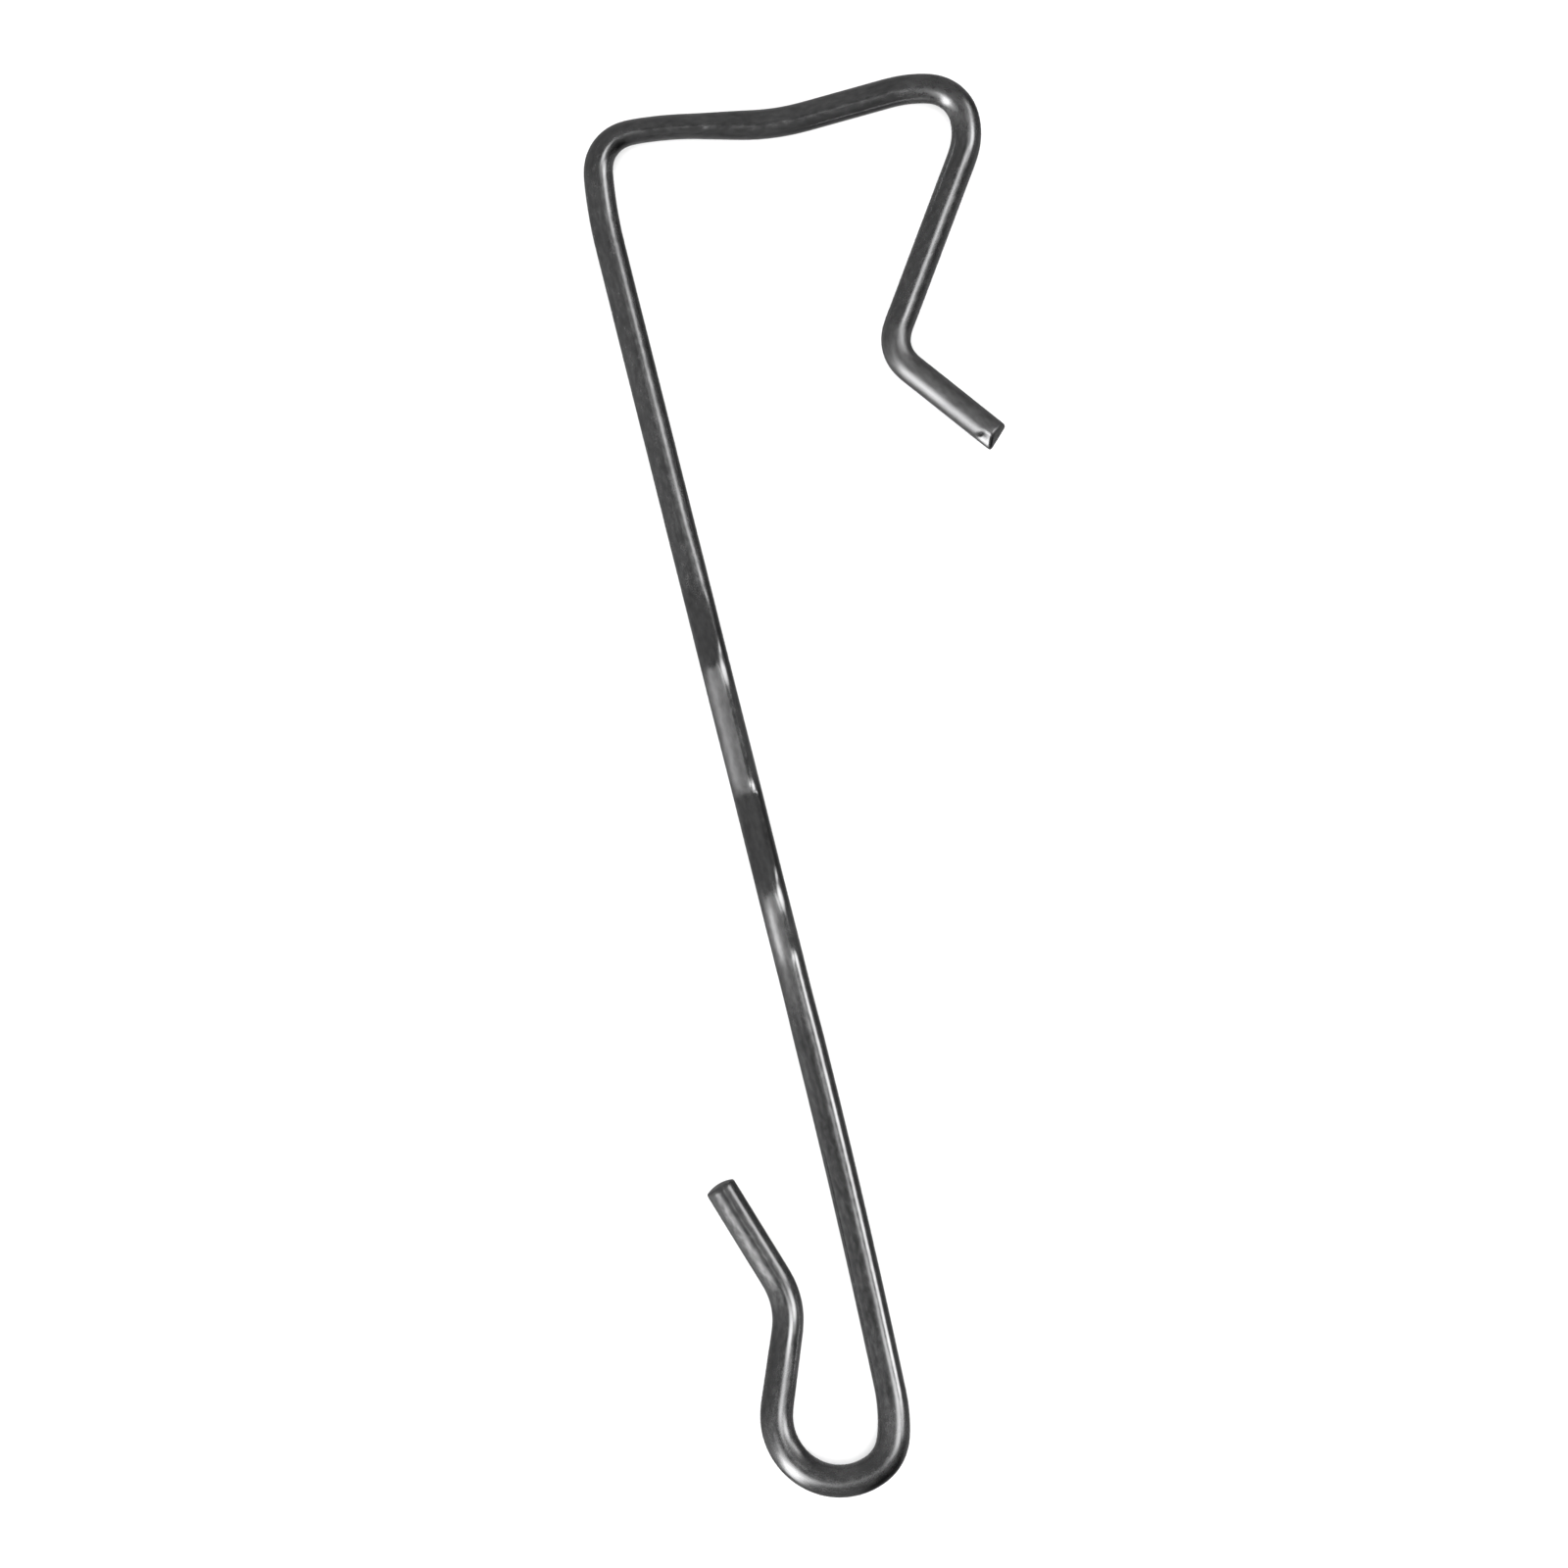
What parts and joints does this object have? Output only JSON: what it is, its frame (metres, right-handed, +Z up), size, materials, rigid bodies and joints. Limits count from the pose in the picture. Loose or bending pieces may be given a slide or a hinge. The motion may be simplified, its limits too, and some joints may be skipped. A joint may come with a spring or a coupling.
{
  "type": "slate hook",
  "caption": "Bent wire hook for hanging a roof slate: a clip for the batten, a long shank with a wavy crimp, and a curled seat with a lip for the slate's edge.",
  "frame": {"origin": "centre of the bounding box, at the level of the surface that the hook lies on", "axes": "+Y along the shank towards the batten clip, +X towards the side on which the clip opens, +Z up, across the plane in which the hook is bent"},
  "size_m": [0.048, 0.1254, 0.0052],
  "materials": {
    "stainless_wire": "drawn stainless wire, bright, with faint draw lines along it"
  },
  "bodies": {
    "root": {"slate_hook": "stainless_wire"}
  },
  "joints": []
}
